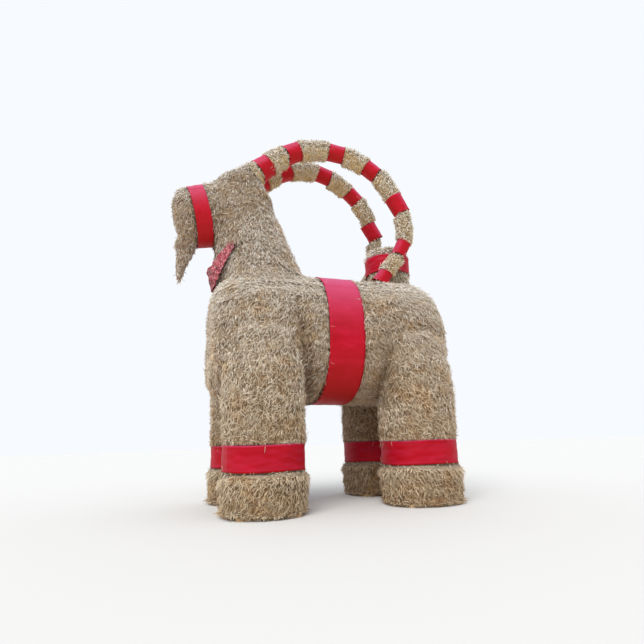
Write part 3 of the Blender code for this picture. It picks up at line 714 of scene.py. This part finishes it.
def build_coat():
    """Head, neck, torso and legs: one flowing surface, cut back into the mats it is made of."""
    band_low, band_high = corners("muzzle_band")
    points, faces = coat_surface(band_low, band_high)
    normals = point_normals(points, faces)
    centres = points[faces].mean(1)
    outer = outer_faces(points, faces, centres) | (centres[:, 0] < band_low[0] + 0.35)
    faces = faces[outer]
    owner = nearest_nodes(centres[outer])
    bands = [band for name, band in BANDS.items() if name.startswith(("leg", "girth", "muzzle"))]
    points = pinch(points, normals, bands, -0.02, 0.0, 0.045)
    points = lumpy(points, normals, 0.7, 0.035, 0.045, 0.08)
    points -= normals * (FOLD_DEPTH * haunch_fold(points)[0])[:, None]
    top = np.clip(normals[:, 2] * 1.5, 0.0, 1.0) * (points[:, 2] > band_high[2] - 0.9)
    brow_line = points[:, 0] - band_high[0]
    points[:, 2] += np.interp(brow_line, BROW_LINE, BROW_RISE) * top
    hem = 0.07 * np.clip(1.0 - points[:, 2] / 0.22, 0.0, 1.0)
    cuff = hem - 0.05 * np.clip((0.95 - points[:, 2]) / 0.3, 0.0, 1.0)
    points[:, :2] += normals[:, :2] * cuff[:, None]
    snout = np.clip((band_low[0] + 0.35 - points[:, 0]) / 0.3, 0.0, 1.0)
    points += normals * (0.05 * snout)[:, None]
    points[:, 2] = np.maximum(points[:, 2], GROUND_ROOM)
    mats = {}
    for row, node in enumerate(COAT):
        own = faces[owner == row]
        shell_piece(node + "_mat", points, normals, own, STRAW_MAT, "goat", node)
        mats[node] = Mat(node, points, normals, own)
    return mats


def build_mat(node, inside, voxel, rounds, lump, inset, material, body="goat", bands=()):
    """The mat of one straw node, wrapped round the timber or steel nodes inside it, if any."""
    points, faces = remeshed([node], voxel, rounds)
    normals = point_normals(points, faces)
    outer = outward(points[faces].mean(1), unit(face_normals(points, faces)), inside) > 0.1
    faces = faces[outer]
    if bands:
        points = pinch(points, normals, bands, -0.10, 0.01, 0.02)
    points = lumpy(points, normals, lump * 12.0, lump, inset)
    if inside:
        shell_piece(node + "_mat", points, normals, faces, material, body, node)
    else:
        finish_piece(node + "_mat", points, faces.tolist(), material, body, node)
    return Mat(node, points, normals, faces)


# ---------------------------------------------------------------- straw stalks
MOST_STALKS = 24000                                 # stalks in one piece; more make further pieces
ROOT_SHADE = 0.38                                   # how much darker a stalk's root is than its tip
STALK_FACES = np.array([(0, 2, 1), (3, 4, 5), (0, 1, 4), (0, 4, 3),
                        (1, 2, 5), (1, 5, 4), (2, 0, 3), (2, 3, 5)])
STALK_UV = np.array([(0.1, 0.1), (0.4, 0.1), (0.7, 0.1), (0.1, 0.9), (0.4, 0.9), (0.7, 0.9)])


def tangent(directions, normals):
    """Directions laid flat on the surface that has the normals."""
    along = np.einsum("ij,ij->i", directions, normals)[:, None]
    return unit(directions - normals * along)


def turn(directions, normals, angles):
    """Directions turned about the normals."""
    side = np.cross(normals, directions)
    return directions * np.cos(angles)[:, None] + side * np.sin(angles)[:, None]


def stalk_piece(name, roots, tips, normals, widths, tones, material, body):
    """Closed three-sided stalks with blunt ends, darker at the root, each with its own cell to bake in."""
    count = len(roots)
    along = unit(tips - roots)
    side = unit(np.cross(along, normals))
    lift = np.cross(side, along)
    verts = np.empty((count, 6, 3))
    for ring, (points, scale) in enumerate(((roots, 1.0), (tips, 0.55))):
        reach = (widths * scale / 2.0)[:, None]
        verts[:, ring * 3 + 0] = points + side * reach
        verts[:, ring * 3 + 1] = points - side * reach
        verts[:, ring * 3 + 2] = points + lift * reach * 1.3
    faces = (STALK_FACES[None] + (np.arange(count) * 6)[:, None, None]).reshape(-1, 3)
    mesh = bpy.data.meshes.new(name)
    mesh.vertices.add(count * 6)
    mesh.vertices.foreach_set("co", verts.astype(np.float32).ravel())
    mesh.loops.add(len(faces) * 3)
    mesh.loops.foreach_set("vertex_index", faces.astype(np.int32).ravel())
    mesh.polygons.add(len(faces))
    mesh.polygons.foreach_set("loop_start", np.arange(0, len(faces) * 3, 3, dtype=np.int32))
    mesh.update()
    tone = mesh.attributes.new("tone", "FLOAT", "POINT")
    shade = np.repeat(tones[:, None], 6, axis=1)
    shade[:, :3] -= ROOT_SHADE
    tone.data.foreach_set("value", np.clip(shade, 0.0, 1.0).astype(np.float32).ravel())
    across = int(math.ceil(math.sqrt(count)))
    cell = np.stack([np.arange(count) % across, np.arange(count) // across], 1) / across
    uv = cell[:, None, None, :] + STALK_UV[STALK_FACES][None] / across
    layer = mesh.uv_layers.new(name="OFBake")
    layer.uv.foreach_set("vector", uv.astype(np.float32).ravel())
    place_piece(name, mesh, material, body)


SCARF_TREE = node_tree("neck_scarf")


def clear_of_scarf(points, room):
    """Which points lie further than room from the scarf."""
    low, high = corners("neck_scarf")
    near = np.flatnonzero(np.all((points > low - room) & (points < high + room), axis=1))
    clear = np.ones(len(points), bool)
    clear[near] = [SCARF_TREE.find_nearest(points[index])[3] > room for index in near]
    return clear


ROOT_DEPTH = 0.02
SAG = 0.10
DARK_SHARE, DARK_STEP = 0.13, 0.36                  # the share of stalks drawn darker at random, and how much darker they are
# painted shade between the legs, darker near the ground, painted light on top and painted shade in the
# haunch folds
INNER_SHADE_STEP, LOW_STEP, TOP_LIGHT_STEP, FOLD_SHADE_STEP = 0.26, 0.10, 0.25, 0.34
LEAST_CUT, LEAST_FLOOR_CUT = 0.2, 0.3               # the shares of a stalk that are worth keeping
FLOOR_ROOM = 0.012


def stalk_shade(points, normals, tone):
    """Tones for stalks: painted shade between the legs and in the folds, darker near the ground, painted
    light on top.
    """
    count = len(points)
    shade = tone[0] + RNG.normal(0.0, tone[1], count) + noise(points, 0.30, 23) * 0.06
    shade -= DARK_STEP * (RNG.random(count) < DARK_SHARE)
    # painted shade on the inner sides of the legs
    inner = np.clip(-np.sign(points[:, 1]) * normals[:, 1], 0.0, 1.0)
    inner *= np.clip((3.4 - points[:, 2]) / 0.4, 0.0, 1.0)
    shade -= inner * INNER_SHADE_STEP + LOW_STEP * np.clip(1.4 - points[:, 2], 0.0, 1.0)
    # painted light on faces that look up, painted shade in the folds by the haunches
    return shade + (np.clip(normals[:, 2], 0.0, 1.0) * TOP_LIGHT_STEP - FOLD_SHADE_STEP * haunch_fold(points)[1])


def cut_stalks(roots, tips, bands):
    """Tips cut back at the floor and at the edges of the bands, and which stalks stay long enough."""
    sunk = tips[:, 2] < FLOOR_ROOM
    share = (roots[:, 2] - FLOOR_ROOM) / np.maximum(roots[:, 2] - tips[:, 2], 1e-6)
    tips = np.where(sunk[:, None], roots + (tips - roots) * share[:, None], tips)
    keep = ~sunk | (share > LEAST_FLOOR_CUT)
    for band in bands:
        before = band.covers(roots)
        over = band.covers(tips)
        keep &= (before < 0.0) | ((before < 0.05) & (over < 0.0))
        cut = np.where((over > 0.0) & (before < 0.0), before / np.minimum(before - over, -1e-6), 1.0)
        keep &= cut > LEAST_CUT
        tips = roots + (tips - roots) * cut[:, None]
    return tips, keep


def grow_stalks(mat, density, comb, material, body="goat", length=(0.15, 0.30), width=(0.018, 0.036),
                lift=(4.0, 26.0), spread=34.0, wild=0.22, bands=(), tone=(0.82, 0.18)):
    """Single stalks over the outside of a mat.

    comb gives the way they lie, lift and spread are in degrees, wild is the share that lies any way,
    and tone is a mean and a spread. The stalks stop at the bands, whose edges get a fringe.
    """
    points, normals = mat.sample(density)
    count = len(points)
    angle = noise(points, 1.3, 21) * 16.0 + noise(points, 0.4, 22) * 12.0 + RNG.normal(0.0, spread, count)
    angle = np.where(RNG.random(count) < wild, RNG.uniform(-180.0, 180.0, count), angle)
    laid = turn(tangent(comb(points), normals), normals, np.radians(angle))
    long = RNG.uniform(*length, count)
    tilt = np.radians(RNG.uniform(*lift, count))
    shade = stalk_shade(points, normals, tone)
    wide = RNG.uniform(*width, count)

    roots = points - normals * ROOT_DEPTH
    sag = SAG * (1.0 - np.clip(normals[:, 2:], 0.0, 1.0))
    aim = unit(laid * np.cos(tilt)[:, None] + normals * np.sin(tilt)[:, None] + DOWN * sag)
    tips, keep = cut_stalks(roots, roots + aim * long[:, None], bands)
    if mat.node in ("neck_straw", "chest_straw", "head_straw"):
        keep &= clear_of_scarf(roots, 0.06) & clear_of_scarf(tips, 0.05)
    for band in () if mat.node == "rump_straw" else bands:      # the girth's fringe is with the chest
        grown = (roots, tips, normals, wide, shade)
        extra = fringe(band)
        roots, tips, normals, wide, shade = (np.concatenate(pair) for pair in zip(grown, extra))
        keep = np.concatenate([keep, np.ones(len(extra[0]), bool)])
    picked = np.flatnonzero(keep)
    groups = int(math.ceil(len(picked) / MOST_STALKS))
    for number in range(groups):
        part = picked[number::groups]
        label = f"{mat.node}_stalks" if groups == 1 else f"{mat.node}_stalks_{number + 1}"
        stalk_piece(label, roots[part], tips[part], normals[part], wide[part], shade[part], material, body)


MIDDLE_X = middle("girth_band")[0]


def comb_down(points):
    """Down the flanks, leaning away from the girth, and outwards from the spine on the back."""
    lean = np.tanh((points[:, 0] - MIDDLE_X) / 2.0) * 0.55
    return DOWN + np.stack([lean, np.sign(points[:, 1]) * 0.35, np.zeros(len(points))], 1)


def comb_plain(points):
    """Straight down."""
    return DOWN + np.zeros_like(points)


def comb_head(points):
    """Down and towards the muzzle."""
    return DOWN + np.array([-0.35, 0.0, 0.0]) + np.zeros_like(points)


DENSITY = 340.0            # stalks on a square metre

mats = build_coat()
for node, mat in mats.items():
    if node.startswith("leg_straw"):
        band = BANDS[node.replace("straw", "band")]
        grow_stalks(mat, DENSITY * 1.5, comb_down, STRAW, bands=[band], length=(0.11, 0.25),
                    width=(0.014, 0.029), tone=(0.80, 0.19))
    elif node in ("chest_straw", "rump_straw"):
        grow_stalks(mat, DENSITY * 1.3, comb_down, STRAW, bands=[BANDS["girth_band"]], length=(0.13, 0.27),
                    width=(0.016, 0.032))
    elif node == "neck_straw":
        grow_stalks(mat, DENSITY * 1.3, comb_plain, STRAW, length=(0.12, 0.26), width=(0.016, 0.031),
                    tone=(0.78, 0.19))
    else:
        grow_stalks(mat, DENSITY * 1.2, comb_head, STRAW, bands=[BANDS["muzzle_band"]], length=(0.12, 0.24),
                    lift=(3.0, 18.0), width=(0.016, 0.032), tone=(0.68, 0.22))

mat = build_mat("tail_straw", ["tail_post"], 0.04, 6, 0.03, 0.03, HORN_STRAW_MAT)
grow_stalks(mat, DENSITY * 1.2, comb_plain, HORN_STRAW, bands=[BANDS["tail_band"]], length=(0.12, 0.26),
            tone=(0.93, 0.17))

for flank in ("left", "right"):
    bands = [BANDS[name] for name in BANDS if name.startswith(f"horn_band_{flank}")]
    mat = build_mat(f"horn_straw_{flank}", [f"horn_tube_{flank}"], 0.03, 4, 0.025, 0.0, HORN_STRAW_MAT,
                    bands=bands)
    grow_stalks(mat, DENSITY * 1.4, comb_plain, HORN_STRAW, bands=bands, length=(0.10, 0.20),
                width=(0.020, 0.034), lift=(3.0, 24.0), wild=0.5, tone=(0.94, 0.17))

mat = build_mat("beard_straw", [], 0.03, 3, 0.015, 0.06, STRAW_MAT, "beard")
grow_stalks(mat, DENSITY * 1.8, comb_plain, STRAW, body="beard", length=(0.12, 0.24), width=(0.018, 0.030),
            lift=(1.0, 10.0), spread=16.0, wild=0.06, tone=(0.74, 0.17))


# ---------------------------------------------------------------- scarf
SCARF_GRAIN = 0.055                                 # longest edge after subdivision
FOLD_RISE, CREASE_RISE, EDGE_RISE = 0.030, 0.020, 0.02


def scarf_cloth():
    """A patterned cloth slung across the front of the neck in long soft folds, still at its pins."""
    low, high = corners("neck_scarf")
    tool = bmesh.new()
    tool.from_mesh(NODES["neck_scarf"].data)
    bmesh.ops.dissolve_limit(tool, angle_limit=0.001, verts=tool.verts, edges=tool.edges)
    bmesh.ops.triangulate(tool, faces=tool.faces)
    for _ in range(5):
        longest = [edge for edge in tool.edges if edge.calc_length() > SCARF_GRAIN]
        if not longest:
            break
        bmesh.ops.subdivide_edges(tool, edges=longest, cuts=1)
        bmesh.ops.triangulate(tool, faces=tool.faces)
    mesh = bpy.data.meshes.new("scarf")
    tool.to_mesh(mesh)
    tool.free()
    points = vertices_of(mesh)
    faces = [tuple(face.vertices) for face in mesh.polygons]
    side = points[:, 1] / high[1]
    slack = np.clip(1.0 - (side / 0.92) ** 2, 0.0, 1.0)
    drop = (points[:, 2] - low[2]) / (high[2] - low[2])
    fold = np.sin((drop * 11.0 - slack * 7.0) * 2.6) * FOLD_RISE + noise(points, 0.22, 31) * CREASE_RISE
    edge = noise(np.stack([points[:, 1] * 2.0, drop, drop], 1), 0.5, 32) * EDGE_RISE
    points[:, 0] -= fold * slack
    points[:, 2] += edge * slack
    finish_piece("neck_scarf_cloth", points, faces, SCARF, "scarf", "neck_scarf")


TUFT = 70


def pin_tuft(flank, way):
    """A tuft of loose straw over a scarf pin. way is -1 on the left and 1 on the right."""
    low, high = corners(f"scarf_pin_{flank}")
    head = np.array([(low[0] + high[0]) / 2, way * max(-low[1], high[1]), (low[2] + high[2]) / 2])
    spray = RNG.normal(0.0, 1.0, (TUFT, 3))
    roots = head + np.array([0.0, -way * 0.03, 0.12]) + spray * np.array([0.12, 0.01, 0.07])
    stray = RNG.normal(0.0, 1.0, (TUFT, 3)) * np.array([0.13, 0.012, 0.07])
    tips = roots + np.array([0.0, way * 0.05, -0.20]) + stray
    stalk_piece(f"scarf_tuft_{flank}", roots, tips, np.tile([0.0, way, 0.0], (TUFT, 1)),
                RNG.uniform(0.018, 0.034, TUFT), RNG.normal(0.66, 0.18, TUFT), STRAW, "goat")


scarf_cloth()
pin_tuft("left", -1.0)
pin_tuft("right", 1.0)

TIMBER = ("leg_frame", "foot_pad", "torso_ring", "belly", "spine", "neck_frame", "head_frame", "tail_post")
for name, node in NODES.items():
    if name.startswith(TIMBER):
        node.material_slots[0].material = PINE
    elif name.startswith(("horn_tube", "horn_socket", "scarf_pin", "beard_pin", "beard_hanger")):
        node.material_slots[0].material = ZINC


# ---------------------------------------------------------------- stage, light and camera
def flat_material(name, colour, rough):
    material, _, shader = new_material(name)
    shader.inputs["Base Color"].default_value = (*colour, 1.0)
    shader.inputs["Roughness"].default_value = rough
    return material


def build_stage():
    """A pale floor, an even pale sky and one wide soft sun."""
    mesh = bpy.data.meshes.new("floor")
    far = 260.0
    mesh.from_pydata([(-far, -far, 0), (far, -far, 0), (far, far, 0), (-far, far, 0)], [], [(0, 1, 2, 3)])
    mesh.materials.append(flat_material("pale_floor", (0.62, 0.62, 0.61), 0.9))
    floor = bpy.data.objects.new("floor", mesh)
    bpy.context.scene.collection.objects.link(floor)
    world = bpy.data.worlds.new("studio")
    bpy.context.scene.world = world
    world.use_nodes = True
    sky = world.node_tree.nodes["Background"]
    sky.inputs["Color"].default_value = (0.93, 0.96, 1.0, 1.0)
    sky.inputs["Strength"].default_value = 1.0
    sun = bpy.data.lights.new("key", "SUN")
    sun.energy = 2.4
    sun.angle = math.radians(35)
    sun.color = (1.0, 0.97, 0.93)
    key = bpy.data.objects.new("key", sun)
    bpy.context.scene.collection.objects.link(key)
    key.rotation_euler = (math.radians(38), math.radians(-12), math.radians(-20))


def build_camera():
    """Low, close and tilted up, from the goat's left front."""
    stance = np.mean([middle(f"foot_pad_{leg}")[0] for leg in LEG_NAMES])
    place = Vector((stance - 5.21, -15.297, 1.906))
    yaw, pitch, roll = (math.radians(angle) for angle in (18.61, 14.45, -1.70))
    ahead = Vector((math.sin(yaw) * math.cos(pitch), math.cos(yaw) * math.cos(pitch), math.sin(pitch)))
    right = Vector((math.cos(yaw), -math.sin(yaw), 0.0))
    above = right.cross(ahead)
    tilted = right * math.cos(roll) + above * math.sin(roll)
    above = above * math.cos(roll) - right * math.sin(roll)
    lens = bpy.data.cameras.new("camera")
    lens.sensor_width = 36.0
    lens.lens = 26.05
    lens.clip_end = 600.0
    camera = bpy.data.objects.new("camera", lens)
    bpy.context.scene.collection.objects.link(camera)
    turned = Matrix((tilted, above, -ahead)).transposed().to_4x4()
    camera.matrix_world = Matrix.Translation(place) @ turned
    bpy.context.scene.camera = camera


build_stage()
build_camera()
bpy.context.scene.view_settings.view_transform = "Standard"     # the default washes out the red
